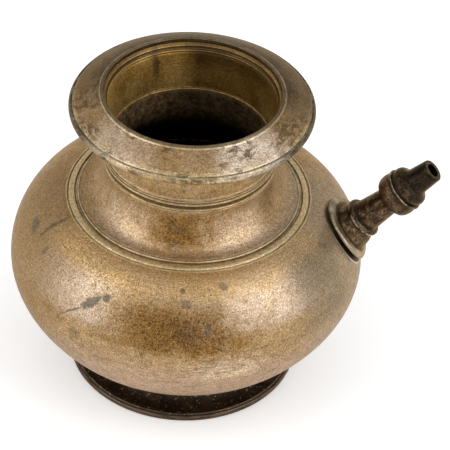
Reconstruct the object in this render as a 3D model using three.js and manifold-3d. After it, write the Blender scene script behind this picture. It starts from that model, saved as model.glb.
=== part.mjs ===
import * as THREE from 'three';
import { mergeVertices } from 'three/addons/utils/BufferGeometryUtils.js';
import Module from 'manifold-3d';

// Spouted holy water pot of aged bronze, in millimetres, +Z up, standing on z = 0.
// A cast foot carries two bowls brazed at the belly. A concave neck laps over the upper bowl,
// a rim collar is sleeved over the neck, and a turned spout of three pieces leans out along +X.
// The origin lies under the middle of the whole object's bounding box.

const wasm = await Module();
wasm.setup();

// Metal and seams
const wall = 2.4;
const seamGap = 0.15;
const fitGap = 0.3;

// Foot
const footRadius = 51.7;
const footLipHeight = 3.0;
const footLipWidth = 3.0;
const footTopHeight = 11.2;
const footNeckRadius = 41.0;
const footSeatRadius = 42.3;
const footSeatWidth = 4.9;
const footSeatHeight = 1.6;
const footFlareSpread = 1.5;
const footFlareLift = 1.0;
const footWall = 2.6;
const footEdge = 0.6;
const footBrazeWidth = 3.3;

// Lower bowl
const bellyRadius = 77.9;
const bellyHeight = 57.0;
const bowlFloorRadius = 36.0;
const bowlFloorFullness = 14.0;
const bellyFullnessBelow = 20.5;
const bellySeam = 0.4;
const tongueHeight = 3.0;

// Upper bowl, heights counted from the belly
const shoulderRise = 33.0;
const shoulderEdgeRadius = 52.9;
const bellyFullnessAbove = 17.0;
const shoulderFullness = 13.6;
const shoulderDrop = 1.7;

// Seat of the neck in the wide groove at the shoulder's edge
const neckSeatInset = 3.6;
const neckSeatDrop = 1.0;
const neckSeatWidth = 2.3;
const neckSeatSeam = 0.6;

// Concave neck
const coveInset = 5.4;
const coveStep = 1.3;
const neckRise = 19.0;
const neckRadius = 37.2;
const coveFlatness = 6.0;
const coveLift = 0.9;
const coveUprightness = 11.0;
const neckTurningHeight = 5.0;
const neckHeelWidth = 1.8;
const stubRadius = 35.0;
const stubHeight = 7.0;
const stubThickness = 1.3;
const stubLedge = 1.5;
const neckBrazeWidth = 0.95;

// Rim collar, heights counted from its lower edge
const neckSeam = 0.6;
const collarHeight = 30.5;
const collarNeckRadius = 36.2;
const collarStraight = 9.4;
const collarFlare = 2.6;
const rimUndercut = 8.5;
const rimUndercutRise = 3.0;
const rimRadius = 52.5;
const rimEdgeDrop = 6.3;
const rimEdgeThickness = 3.6;
const rimEdgeRound = 1.2;
const rimHookWidth = 0.7;
const rimHookDepth = 0.4;
const ridgeRadius = 39.54;
const ridgeDrop = 0.7;
const lipRadius = 37.8;
const lipFlat = 1.1;
const throatRadius = 33.9;
const mouthWallRadius = 36.3;

// Spout line: it meets the pot's axis at a height set by its root on the upper bowl
const spoutTilt = THREE.MathUtils.degToRad(47.5);
const spoutRootDrop = 11.3;

// Spout base, lengths along the spout
const flangeRadius = 14.4;
const flangeThickness = 1.4;
const flangeStandoff = 1.5;
const saddleRadius = 12.4;
const spigotRadius = 8.6;
const spigotReach = 1.6;
const holeOvershoot = 4.0;
const innerBrazeRadius = 10.8;
const innerBrazeHeight = 1.2;
const socketRadius = 9.9;
const socketTaper = 0.33;
const socketLength = 4.0;
const socketShoulder = 0.4;
const socketWaist = 8.0;
const rollRadius = 9.0;
const rollWidth = 2.8;
const socketDepth = 6.5;

// Spout tube and its knop
const passageRadius = 3.6;
const tubeSpigotRadius = 5.4;
const tubeRadius = 7.0;
const tubeEndRadius = 5.9;
const tubeLength = 13.4;
const knopRadius = 9.85;
const knopLength = 8.9;
const knopSocketDepth = 6.0;

// Nozzle
const nozzleBoreRadius = 3.2;
const nozzleSpigotRadius = 4.6;
const collarRadius = 9.15;
const collarLength = 3.6;
const nozzleRootRadius = 5.8;
const nozzleCove = 2.6;
const nozzleCoveFlare = 0.6;
const nozzleLength = 8.8;
const nozzleEndRadius = 5.1;
const tipBevel = 0.2;
const tipBevelLength = 0.3;

// Braze rings between the pieces of the spout
const brazeWidth = 0.3;
const brazeInset = 0.6;

// Facets
const aroundBody = 40;
const aroundSpout = 32;
const alongBowl = 8;
const alongCove = 6;
const alongRim = 5;
const alongFoot = 4;
const roundedSteps = 4;
const alongSection = 120;

const at = (radius, height) => new THREE.Vector2(radius, height);

// Outlines are drawn in the half plane of radius and height, with the metal on the left of the pen
function turned(outline, facets) {
  const loop = outline[0].x === 0 ? outline : [...outline, outline[0]];
  return new THREE.LatheGeometry(loop, facets).rotateX(Math.PI / 2);
}

// An edge that bulges outwards to a radius between two heights
function roundedEdge(radius, depth, bottom, top) {
  const points = [];
  for (let i = 0; i <= roundedSteps; i++) {
    const turn = Math.PI * (i / roundedSteps - 0.5);
    const height = (bottom + top) / 2 + ((top - bottom) / 2) * Math.sin(turn);
    points.push(at(radius - depth + depth * Math.cos(turn), height));
  }
  return points;
}

// Points of a curve, moved to the left of its direction by a distance
function besideCurve(curve, steps, distance) {
  const points = [];
  for (let i = 0; i <= steps; i++) {
    const along = curve.getTangent(i / steps);
    const left = at(-along.y, along.x);
    points.push(curve.getPoint(i / steps).addScaledVector(left, distance));
  }
  return points;
}

// Main curves of the body
const bowlBottom = footTopHeight + seamGap;
const lowerCurve = new THREE.CubicBezierCurve(
  at(bowlFloorRadius, bowlBottom),
  at(bowlFloorRadius + bowlFloorFullness, bowlBottom),
  at(bellyRadius, bellyHeight - bellyFullnessBelow),
  at(bellyRadius, bellyHeight - bellySeam / 2),
);

const shoulderHeight = bellyHeight + shoulderRise;
const upperCurve = new THREE.CubicBezierCurve(
  at(bellyRadius, bellyHeight + bellySeam / 2),
  at(bellyRadius, bellyHeight + bellyFullnessAbove),
  at(shoulderEdgeRadius + shoulderFullness, shoulderHeight - shoulderDrop),
  at(shoulderEdgeRadius, shoulderHeight),
);

const coveRadius = shoulderEdgeRadius - coveInset;
const coveHeight = shoulderHeight + coveStep;
const neckHeight = shoulderHeight + neckRise;
const coveCurve = new THREE.CubicBezierCurve(
  at(coveRadius, coveHeight),
  at(coveRadius - coveFlatness, coveHeight + coveLift),
  at(neckRadius, neckHeight - coveUprightness),
  at(neckRadius, neckHeight),
);

const stubStart = neckHeight + neckTurningHeight;
const stubEnd = stubStart + stubHeight;
const collarStart = stubStart + neckSeam;
const lipHeight = collarStart + collarHeight;

// The point of a curve where its radius, x, or its height, y, rises past a value
function crossing(curve, axis, value) {
  const points = curve.getPoints(80);
  const after = Math.max(1, points.findIndex((point) => point[axis] >= value));
  const [a, b] = [points[after - 1], points[after]];
  const share = THREE.MathUtils.clamp((value - a[axis]) / (b[axis] - a[axis]), 0, 1);
  return a.clone().lerp(b, share);
}

function footRing() {
  const flare = new THREE.QuadraticBezierCurve(
    at(footRadius - footEdge, footLipHeight),
    at(footNeckRadius + footFlareSpread, footLipHeight + footFlareLift),
    at(footNeckRadius, footTopHeight - footSeatHeight),
  );
  return turned([
    at(footRadius - footLipWidth, 0),
    at(footRadius - footEdge, 0),
    at(footRadius, footEdge),
    at(footRadius, footLipHeight - footEdge),
    ...flare.getPoints(alongFoot),
    at(footSeatRadius, footTopHeight),
    at(footSeatRadius - footSeatWidth, footTopHeight),
    ...besideCurve(flare, alongFoot, footWall).slice(1).reverse(),
  ], aroundBody);
}

function footBrazeRing() {
  const outer = footSeatRadius;
  const inner = outer - footBrazeWidth;
  const under = (radius) => at(radius, crossing(lowerCurve, 'x', radius).y - seamGap);
  return turned([
    at(inner, footTopHeight),
    at(outer, footTopHeight),
    under(outer + footEdge),
    under(inner),
  ], aroundBody);
}

// The rabbet at the belly: a tongue on the lower bowl stands inside the upper bowl's edge
const innerBelly = bellyRadius - wall;
const tongueOuter = bellyRadius - wall / 2;
const tongueTop = bellyHeight + tongueHeight;

function lowerBowl() {
  return turned([
    at(0, bowlBottom),
    ...lowerCurve.getPoints(alongBowl),
    at(tongueOuter, bellyHeight - bellySeam / 2),
    at(tongueOuter, tongueTop),
    at(innerBelly, tongueTop),
    ...besideCurve(lowerCurve, alongBowl, wall).reverse(),
    at(0, bowlBottom + wall),
  ], aroundBody);
}

function bellyBrazeRing() {
  return turned([
    at(tongueOuter + seamGap, bellyHeight - bellySeam / 2),
    at(bellyRadius, bellyHeight - bellySeam / 2),
    at(bellyRadius, bellyHeight + bellySeam / 2),
    at(tongueOuter + seamGap, bellyHeight + bellySeam / 2),
  ], aroundBody);
}

// The neck's edge lies on a ledge of the upper bowl, in the wide groove
const neckSeatRadius = shoulderEdgeRadius - neckSeatInset;
const neckSeatHeight = shoulderHeight - neckSeatDrop;
const neckEdgeRadius = neckSeatRadius - neckSeatSeam;

// Turned lines at the shoulder's edge: groove, flat band and the outer wall of the wide groove
function shoulderTurning() {
  const steps = [[0.4, -0.3], [0.8, 0.15], [1.1, 0.45], [3.2, 0.7], [neckSeatInset, 0.1]];
  return steps.map(([inward, up]) => at(shoulderEdgeRadius - inward, shoulderHeight + up));
}

// Floor of the wide groove and the bead from which the cove rises
function coveRoot() {
  const steps = [[0, 0.25], [0.3, 1.1], [0.7, 1.05]];
  return steps.map(([inward, up]) => at(neckEdgeRadius - inward, shoulderHeight + up));
}

// Turned lines round the neck: bead, wide groove, bead, thin groove and bead
function neckTurning() {
  const steps = [[-0.3, 0.2], [0.3, 0.8], [-0.6, 1.4], [-0.6, 2.4], [0.1, 3.1], [-0.5, 3.7], [-0.2, 4.3]];
  return steps.map(([proud, up]) => at(neckRadius + proud, neckHeight + up));
}

function upperBowlOutline() {
  const inside = besideCurve(upperCurve, alongBowl, wall).reverse();
  return [
    ...upperCurve.getPoints(alongBowl),
    ...shoulderTurning(),
    at(neckSeatRadius, neckSeatHeight),
    at(neckSeatRadius - neckSeatWidth, neckSeatHeight),
    at(neckSeatRadius - neckSeatWidth, shoulderHeight - wall),
    ...inside.filter((point) => point.y > tongueTop + wall / 2),
    at(innerBelly, tongueTop + seamGap),
    at(tongueOuter + seamGap, tongueTop + seamGap),
    at(tongueOuter + seamGap, bellyHeight + bellySeam / 2),
  ];
}

function shoulderBrazeRing() {
  return turned([
    at(neckEdgeRadius + seamGap, neckSeatHeight),
    at(neckSeatRadius - seamGap, neckSeatHeight),
    at(neckSeatRadius - seamGap, shoulderHeight),
    at(neckEdgeRadius + seamGap, shoulderHeight),
  ], aroundBody);
}

function neck() {
  const inside = besideCurve(coveCurve, alongCove, wall).reverse();
  const base = neckSeatHeight + seamGap;
  return turned([
    at(neckEdgeRadius, base),
    ...coveRoot(),
    ...coveCurve.getPoints(alongCove),
    ...neckTurning(),
    at(stubRadius + stubLedge, stubStart),
    at(stubRadius, stubStart),
    at(stubRadius, stubEnd),
    at(stubRadius - stubThickness, stubEnd),
    ...inside.filter((point) => point.y > base + seamGap),
    at(coveRadius + seamGap - neckHeelWidth + neckSeatSeam, base),
  ], aroundBody);
}

function neckBrazeRing() {
  const inner = stubRadius + seamGap;
  const outer = inner + neckBrazeWidth;
  return turned([
    at(inner, stubStart),
    at(outer, stubStart),
    at(outer, collarStart),
    at(inner, collarStart),
  ], aroundBody);
}

// The mouth's inside from the lip down: a step, a short wall and the double turned line
function mouthTurning() {
  const steps = [[lipRadius - mouthWallRadius, 2.3], [0.6, 3.4], [0.4, 4.6], [-0.3, 5.1], [-0.1, 6.5]];
  return steps.map(([outward, down]) => at(mouthWallRadius + outward, lipHeight - down));
}

function rimCollar() {
  const rimEdgeTop = lipHeight - rimEdgeDrop;
  const rimEdgeBottom = rimEdgeTop - rimEdgeThickness;
  const underside = new THREE.CubicBezierCurve(
    at(collarNeckRadius, collarStart + collarStraight),
    at(collarNeckRadius + collarFlare, rimEdgeBottom + 2 * rimHookDepth),
    at(rimRadius - rimUndercut, rimEdgeBottom + rimUndercutRise),
    at(rimRadius - rimEdgeRound - rimHookWidth, rimEdgeBottom + rimHookDepth),
  );
  return turned([
    at(stubRadius + seamGap, collarStart),
    at(collarNeckRadius, collarStart),
    ...underside.getPoints(alongRim),
    ...roundedEdge(rimRadius, rimEdgeRound, rimEdgeBottom, rimEdgeTop),
    at(ridgeRadius, lipHeight - ridgeDrop),
    at(lipRadius + lipFlat, lipHeight),
    at(lipRadius, lipHeight),
    ...mouthTurning(),
    at(throatRadius, stubEnd + seamGap),
    at(stubRadius + seamGap, stubEnd + seamGap),
  ], aroundBody);
}

// The spout's line and where the wall of the pot lies along it
const root = crossing(upperCurve, 'y', shoulderHeight - spoutRootDrop);
const spoutAxisHeight = root.y - root.x * Math.tan(spoutTilt);

// Lowest and highest station along the spout at which the pot's outside, moved inwards by a
// distance, lies within reach of the spout's line
function stationsWithin(distance, reach) {
  const stations = [];
  for (const { x, y } of [lowerCurve, upperCurve].flatMap((curve) => besideCurve(curve, alongSection, distance))) {
    const up = y - spoutAxisHeight;
    const above = up * Math.cos(spoutTilt) - x * Math.sin(spoutTilt);
    const station = x * Math.cos(spoutTilt) + up * Math.sin(spoutTilt);
    if (Math.abs(above) <= reach) stations.push(station);
  }
  return { lowest: Math.min(...stations), highest: Math.max(...stations) };
}

const flangeTop = flangeStandoff + flangeThickness;
const spigotEnd = stationsWithin(wall, innerBrazeRadius).lowest - spigotReach;
const socketStart = stationsWithin(-flangeTop, socketRadius).highest;
const rollStart = socketStart + socketLength;
const socketEnd = rollStart + rollWidth;
const tubeStart = socketEnd + brazeWidth + 2 * fitGap;
const tubeEnd = tubeStart + tubeLength;
const knopEnd = tubeEnd + knopLength;
const nozzleStart = knopEnd + brazeWidth + 2 * fitGap;
const nozzleRoot = nozzleStart + collarLength;
const nozzleTip = nozzleRoot + nozzleCove + nozzleLength;
const spoutPlacement = new THREE.Matrix4()
  .makeTranslation(0, 0, spoutAxisHeight)
  .multiply(new THREE.Matrix4().makeRotationY(Math.PI / 2 - spoutTilt));

// Closed triangle meshes become solids for joining and cutting, and come back as geometry
function toSolid(geometry) {
  const bare = geometry.clone();
  bare.deleteAttribute('normal');
  bare.deleteAttribute('uv');
  const merged = mergeVertices(bare, 1e-4);
  const corners = merged.index.array;
  const faces = [];
  for (let i = 0; i < corners.length; i += 3) {
    const [a, b, c] = corners.slice(i, i + 3);
    if (a !== b && b !== c && c !== a) faces.push(a, b, c);
  }
  return new wasm.Manifold(new wasm.Mesh({
    numProp: 3,
    vertProperties: new Float32Array(merged.attributes.position.array),
    triVerts: new Uint32Array(faces),
  }));
}

function toGeometry(solid) {
  const mesh = solid.getMesh();
  const geometry = new THREE.BufferGeometry();
  geometry.setAttribute('position', new THREE.BufferAttribute(mesh.vertProperties, 3));
  geometry.setIndex(new THREE.BufferAttribute(mesh.triVerts, 1));
  geometry.computeVertexNormals();
  return geometry;
}

// A plain turned sleeve along the spout
function sleeve(innerRadius, outerRadius, start, end) {
  return turned([
    at(innerRadius, start),
    at(outerRadius, start),
    at(outerRadius, end),
    at(innerRadius, end),
  ], aroundSpout);
}

// The whole pot as one filled form, grown or shrunk by a distance, in the spout's own frame
function filledPot(distance) {
  const outline = [
    ...besideCurve(lowerCurve, 2 * alongBowl, distance),
    ...besideCurve(upperCurve, 2 * alongBowl, distance),
  ];
  const filled = turned([at(0, outline[0].y), ...outline, at(0, outline.at(-1).y)], aroundBody);
  return toSolid(filled.applyMatrix4(spoutPlacement.clone().invert()));
}

function upperBowl() {
  const cutter = turned([
    at(0, spigotEnd - holeOvershoot),
    at(spigotRadius + fitGap, spigotEnd - holeOvershoot),
    at(spigotRadius + fitGap, rollStart),
    at(0, rollStart),
  ], aroundSpout).applyMatrix4(spoutPlacement);
  return toGeometry(toSolid(turned(upperBowlOutline(), aroundBody)).subtract(toSolid(cutter)));
}

// A form along the spout cut to the shell that lies between two distances outside the pot
function overPot(form, from, to) {
  return form.subtract(filledPot(-from)).intersect(filledPot(-to));
}

function spoutSaddleBraze() {
  const ring = toSolid(sleeve(spigotRadius + fitGap, saddleRadius, spigotEnd, rollStart));
  return toGeometry(overPot(ring, fitGap, flangeStandoff - fitGap));
}

function spoutInnerBraze() {
  const start = spigotEnd - holeOvershoot;
  const ring = toSolid(sleeve(spigotRadius + fitGap, innerBrazeRadius, start, rollStart));
  return toGeometry(overPot(ring, -wall - fitGap - innerBrazeHeight, -wall - fitGap));
}

// The flange is beaten to the bowl's curve, the spigot passes through the wall, and the socket
// with its roll takes the tube
function spoutBase() {
  const flange = toSolid(sleeve(passageRadius, flangeRadius, spigotEnd, rollStart));
  const spigot = toSolid(sleeve(passageRadius, spigotRadius, spigotEnd, socketStart));
  const socket = toSolid(turned([
    at(passageRadius, spigotEnd),
    at(socketRadius + socketTaper * (socketStart - spigotEnd), spigotEnd),
    at(socketRadius, socketStart),
    at((socketRadius + socketWaist) / 2, socketStart + socketShoulder * socketLength),
    ...roundedEdge(rollRadius, rollRadius - socketWaist, rollStart, socketEnd),
    at(tubeSpigotRadius + fitGap, socketEnd),
    at(tubeSpigotRadius + fitGap, socketEnd - socketDepth),
    at(passageRadius, socketEnd - socketDepth),
  ], aroundSpout));
  const outside = socket.subtract(filledPot(-flangeStandoff));
  return toGeometry(outside.add(overPot(flange, flangeStandoff, flangeTop)).add(spigot));
}

// The knop swells from the tube, dips a little and ends in a thin edge
const knopSteps = [[1.4, 0.12], [0.3, 0.35], [0.1, 0.65], [0.6, 0.85], [0, 0.94], [0.4, 1]];

function spoutTube() {
  return turned([
    at(passageRadius, socketEnd - socketDepth + fitGap),
    at(tubeSpigotRadius, socketEnd - socketDepth + fitGap),
    at(tubeSpigotRadius, tubeStart),
    at(tubeRadius, tubeStart),
    at(tubeEndRadius, tubeEnd),
    ...knopSteps.map(([inward, share]) => at(knopRadius - inward, tubeEnd + share * knopLength)),
    at(nozzleSpigotRadius + fitGap, knopEnd),
    at(nozzleSpigotRadius + fitGap, knopEnd - knopSocketDepth),
    at(passageRadius, knopEnd - knopSocketDepth),
  ], aroundSpout);
}

// The nozzle's collar swells from the joint and falls away to the cove
const collarSteps = [[0.4, 0], [0, 0.4], [0.5, 0.85], [1.3, 1]];

function spoutNozzle() {
  return turned([
    at(nozzleBoreRadius, knopEnd - knopSocketDepth + fitGap),
    at(nozzleSpigotRadius, knopEnd - knopSocketDepth + fitGap),
    at(nozzleSpigotRadius, nozzleStart),
    ...collarSteps.map(([inward, share]) => at(collarRadius - inward, nozzleStart + share * collarLength)),
    at(nozzleRootRadius + nozzleCoveFlare, nozzleRoot + nozzleCove / 3),
    at(nozzleRootRadius, nozzleRoot + nozzleCove),
    at(nozzleEndRadius, nozzleTip - tipBevelLength),
    at(nozzleEndRadius - tipBevel, nozzleTip),
    at(nozzleBoreRadius, nozzleTip),
  ], aroundSpout);
}

function socketBrazeRing() {
  const start = socketEnd + fitGap;
  return sleeve(tubeSpigotRadius + fitGap, tubeRadius - brazeInset / 2, start, start + brazeWidth);
}

function nozzleBrazeRing() {
  const start = knopEnd + fitGap;
  return sleeve(nozzleSpigotRadius + fitGap, collarRadius - brazeInset, start, start + brazeWidth);
}

// Finishes
const agedBronze = { color: 0x8a7455, roughness: 0.42, metalness: 0.9 };
const darkBronze = { color: 0x3a2f26, roughness: 0.5, metalness: 0.85 };
const blackBronze = { color: 0x241c17, roughness: 0.45, metalness: 0.85 };
const brazeMetal = { color: 0x4d4130, roughness: 0.6, metalness: 0.8 };

function piece(name, geometry, finish) {
  const mesh = new THREE.Mesh(geometry, new THREE.MeshStandardMaterial(finish));
  mesh.name = name;
  return mesh;
}

const body = new THREE.Group();
body.add(
  piece('foot_ring', footRing(), blackBronze),
  piece('foot_braze_ring', footBrazeRing(), brazeMetal),
  piece('lower_bowl', lowerBowl(), agedBronze),
  piece('belly_braze_ring', bellyBrazeRing(), brazeMetal),
  piece('upper_bowl', upperBowl(), agedBronze),
  piece('shoulder_braze_ring', shoulderBrazeRing(), brazeMetal),
  piece('neck', neck(), agedBronze),
  piece('neck_braze_ring', neckBrazeRing(), brazeMetal),
  piece('rim_collar', rimCollar(), agedBronze),
);

const spout = new THREE.Group();
spout.applyMatrix4(spoutPlacement);
spout.add(
  piece('spout_saddle_braze', spoutSaddleBraze(), brazeMetal),
  piece('spout_base', spoutBase(), darkBronze),
  piece('spout_inner_braze', spoutInnerBraze(), brazeMetal),
  piece('socket_braze_ring', socketBrazeRing(), brazeMetal),
  piece('spout_tube', spoutTube(), darkBronze),
  piece('nozzle_braze_ring', nozzleBrazeRing(), brazeMetal),
  piece('spout_nozzle', spoutNozzle(), darkBronze),
);

// The spout reaches past the belly on +X, so the pot's axis stands a little towards -X
const reachOf = (station, radius) => station * Math.cos(spoutTilt) + radius * Math.sin(spoutTilt);
const spoutReach = Math.max(
  reachOf(nozzleTip - tipBevelLength, nozzleEndRadius),
  bellyRadius,
);
const pot = new THREE.Group();
pot.add(body, spout);
pot.position.x = (bellyRadius - spoutReach) / 2;

export default pot;
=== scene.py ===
import math

import bpy
from mathutils import Matrix, Vector


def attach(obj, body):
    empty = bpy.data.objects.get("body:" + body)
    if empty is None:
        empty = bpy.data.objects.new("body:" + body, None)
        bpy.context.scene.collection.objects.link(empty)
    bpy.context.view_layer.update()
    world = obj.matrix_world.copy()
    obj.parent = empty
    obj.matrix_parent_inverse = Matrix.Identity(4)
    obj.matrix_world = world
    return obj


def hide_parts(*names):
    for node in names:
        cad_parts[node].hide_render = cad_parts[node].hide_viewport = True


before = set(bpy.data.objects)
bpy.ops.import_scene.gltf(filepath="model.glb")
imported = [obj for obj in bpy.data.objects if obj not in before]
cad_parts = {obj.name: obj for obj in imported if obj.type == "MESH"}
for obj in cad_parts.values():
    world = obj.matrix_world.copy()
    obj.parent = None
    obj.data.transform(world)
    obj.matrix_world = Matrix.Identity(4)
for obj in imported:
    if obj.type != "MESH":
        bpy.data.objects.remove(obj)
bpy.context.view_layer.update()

# All drawn sizes are in millimetres and repeat the named sizes of the solid model.
MM = 0.001
POT_AXIS_X = -14.98
WALL = 2.4
SEAM_GAP = 0.15
FIT_GAP = 0.3

FOOT_RADIUS = 51.7
FOOT_NECK = 41.0
FOOT_SEAT = 42.3
FOOT_TOP = 11.2

BELLY_RADIUS = 77.9
BELLY_HEIGHT = 57.0
BELLY_SEAM = 0.4
BOWL_BOTTOM = FOOT_TOP + SEAM_GAP
BOWL_FLOOR = 36.0
INNER_BELLY = BELLY_RADIUS - WALL
TONGUE_OUTER = BELLY_RADIUS - WALL / 2
TONGUE_TOP = BELLY_HEIGHT + 3.0
SLOT_RADIUS = TONGUE_OUTER + SEAM_GAP
SLOT_TOP = TONGUE_TOP + SEAM_GAP
SEAM_LOW = BELLY_HEIGHT - BELLY_SEAM / 2
SEAM_HIGH = BELLY_HEIGHT + BELLY_SEAM / 2

SHOULDER_HEIGHT = 90.0
SHOULDER_EDGE = 52.9
NECK_SEAT = SHOULDER_EDGE - 3.6
NECK_SEAT_HEIGHT = SHOULDER_HEIGHT - 1.0
NECK_EDGE = NECK_SEAT - 0.6
NECK_LEDGE = NECK_SEAT - 2.3

COVE_START = (47.5, 91.3)
NECK_HEIGHT = 109.0
NECK_RADIUS = 37.2
STUB_START = 114.0
STUB_END = 121.0
STUB_RADIUS = 35.0
COLLAR_BORE = STUB_RADIUS + SEAM_GAP
COLLAR_START = 114.6
COLLAR_NECK = 36.2
THROAT_RADIUS = 33.9

RIM_RADIUS = 52.5
RIM_EDGE_TOP = 138.8
RIM_EDGE_BOTTOM = 135.2
RIDGE_RADIUS = 39.54
LIP_RADIUS = 37.8
LIP_HEIGHT = 145.1

SPOUT_TILT = math.radians(47.5)
SPOUT_ROOT_HEIGHT = SHOULDER_HEIGHT - 11.3
FLANGE_RADIUS = 14.4
FLANGE_STANDOFF = 1.5
FLANGE_THICKNESS = 1.4
SPIGOT_RADIUS = 8.6
SOCKET_RADIUS = 9.9
SOCKET_TAPER = 0.33
PASSAGE_RADIUS = 3.6
TUBE_SPIGOT = 5.4
NOZZLE_SPIGOT = 4.6
NOZZLE_BORE = 3.2
ROLL_LENGTH = 2.8
SOCKET_LENGTH = 4.0
SOCKET_DEPTH = 6.5
KNOP_LENGTH = 8.9
KNOP_DEPTH = 6
KNOP_FRONT = 3.6
SPOUT_SEAM = 0.9

AROUND_BODY = 144
AROUND_SPOUT = 80
HOLE_RADIUS = SPIGOT_RADIUS + FIT_GAP

# Bends and angles of the outlines
ON_AXIS = 1e-6
ROUND_STEPS = 3
SMALL_BEND = math.radians(9)
SHARP_EDGE = math.radians(38)
LONGEST_ARC = 0.42
INSIDE_TONE = 0.9
MARK_REACH = 3.2
WEAR_SPREAD = 0.55
WEAR_START = 0.18
GRIME_START = 0.12


# Outlines are lists of (radius, height, tone); tone 0 is outside metal, 1 is inside metal.

def bezier(p0, p1, p2, p3, steps, tone=0.0):
    points = []
    for i in range(steps + 1):
        t = i / steps
        a, b, c, d = (1 - t) ** 3, 3 * t * (1 - t) ** 2, 3 * t * t * (1 - t), t ** 3
        points.append((
            a * p0[0] + b * p1[0] + c * p2[0] + d * p3[0],
            a * p0[1] + b * p1[1] + c * p2[1] + d * p3[1],
            tone,
        ))
    return points


def toned(tone, *points):
    return [(r, z, tone) for r, z in points]


def beside(points, distance, tone=None):
    """The same line moved to the left of its direction."""
    moved = []
    for i, (r, z, old) in enumerate(points):
        before = points[max(i - 1, 0)]
        after = points[min(i + 1, len(points) - 1)]
        dr, dz = after[0] - before[0], after[1] - before[1]
        length = math.hypot(dr, dz) or 1.0
        moved.append((r - dz / length * distance, z + dr / length * distance,
                      old if tone is None else tone))
    return moved


def rounded(points, radius, closed):
    """Each sharp corner becomes a small arc."""
    count = len(points)
    result = []
    for i, corner in enumerate(points):
        if (not closed and i in (0, count - 1)) or abs(corner[1] - BELLY_HEIGHT) < BELLY_SEAM:
            result.append(corner)
            continue
        a, c = points[i - 1], points[(i + 1) % count]
        to_a = (a[0] - corner[0], a[1] - corner[1])
        to_c = (c[0] - corner[0], c[1] - corner[1])
        la, lc = math.hypot(*to_a), math.hypot(*to_c)
        if la < ON_AXIS or lc < ON_AXIS:
            continue
        turn = math.pi - math.acos(max(-1, min(1, (to_a[0] * to_c[0] + to_a[1] * to_c[1]) / (la * lc))))
        if turn < SMALL_BEND:
            result.append(corner)
            continue
        reach = min(radius, LONGEST_ARC * la, LONGEST_ARC * lc)
        p = (corner[0] + to_a[0] / la * reach, corner[1] + to_a[1] / la * reach)
        q = (corner[0] + to_c[0] / lc * reach, corner[1] + to_c[1] / lc * reach)
        for k in range(ROUND_STEPS + 1):
            t = k / ROUND_STEPS
            result.append((
                (1 - t) ** 2 * p[0] + 2 * t * (1 - t) * corner[0] + t * t * q[0],
                (1 - t) ** 2 * p[1] + 2 * t * (1 - t) * corner[1] + t * t * q[1],
                corner[2],
            ))
    return result


def divided(points, closed, fine, coarse):
    """Long stretches are divided, so that wear and grime stay beside their edges."""
    result = []
    count = len(points)
    last = count if closed else count - 1
    for i in range(last):
        a, b = points[i], points[(i + 1) % count]
        limit = coarse if min(a[2], b[2]) > INSIDE_TONE else fine
        pieces = max(1, math.ceil(math.hypot(b[0] - a[0], b[1] - a[1]) / limit))
        for k in range(pieces):
            t = k / pieces
            result.append(tuple(a[n] + (b[n] - a[n]) * t for n in range(3)))
    if not closed:
        result.append(points[-1])
    return result


def edge_marks(points, closed, spread):
    """How far each point lies on a worn outer edge and in a dirty corner, from the outline's bends."""
    count = len(points)
    bends, lengths = [], []
    for i, (r, z, _) in enumerate(points):
        a, c = points[i - 1], points[(i + 1) % count]
        if not closed and i in (0, count - 1):
            a, c = points[max(i - 1, 0)], points[min(i + 1, count - 1)]
        d0, d1 = (r - a[0], z - a[1]), (c[0] - r, c[1] - z)
        turn = math.atan2(d0[0] * d1[1] - d0[1] * d1[0], d0[0] * d1[0] + d0[1] * d1[1])
        bends.append(turn)
        lengths.append(math.hypot(*d1))
    along = [0.0]
    for length in lengths[:-1]:
        along.append(along[-1] + length)
    total = along[-1] + lengths[-1]
    wear, grime = [], []
    for i in range(count):
        up = down = 0.0
        for k in range(count):
            gap = abs(along[i] - along[k])
            if closed:
                gap = min(gap, total - gap)
            if gap > MARK_REACH * spread:
                continue
            if bends[k] > 0:
                up += bends[k] * math.exp(-(gap / (WEAR_SPREAD * spread)) ** 2)
            else:
                down -= bends[k] * math.exp(-(gap / spread) ** 2)
        wear.append(max(0.0, min(1.0, up - WEAR_START)))
        grime.append(max(0.0, min(1.0, down - GRIME_START)))
    return wear, grime


# Meshes

BODY_PLACE = Matrix.Translation((POT_AXIS_X * MM, 0, 0)) @ Matrix.Scale(MM, 4)


def add_object(name, data):
    added = bpy.data.objects.new(name, data)
    bpy.context.scene.collection.objects.link(added)
    return added


def add_mesh(name, corners, faces, marks, place):
    mesh = bpy.data.meshes.new(name)
    mesh.from_pydata(corners, [], faces)
    mesh.transform(place)
    mesh.update()
    for label, values in marks.items():
        mesh.attributes.new(label, "FLOAT", "POINT").data.foreach_set("value", values)
    mesh.polygons.foreach_set("use_smooth", [True] * len(mesh.polygons))
    mesh.set_sharp_from_angle(angle=SHARP_EDGE)
    return add_object(name, mesh)


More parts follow.
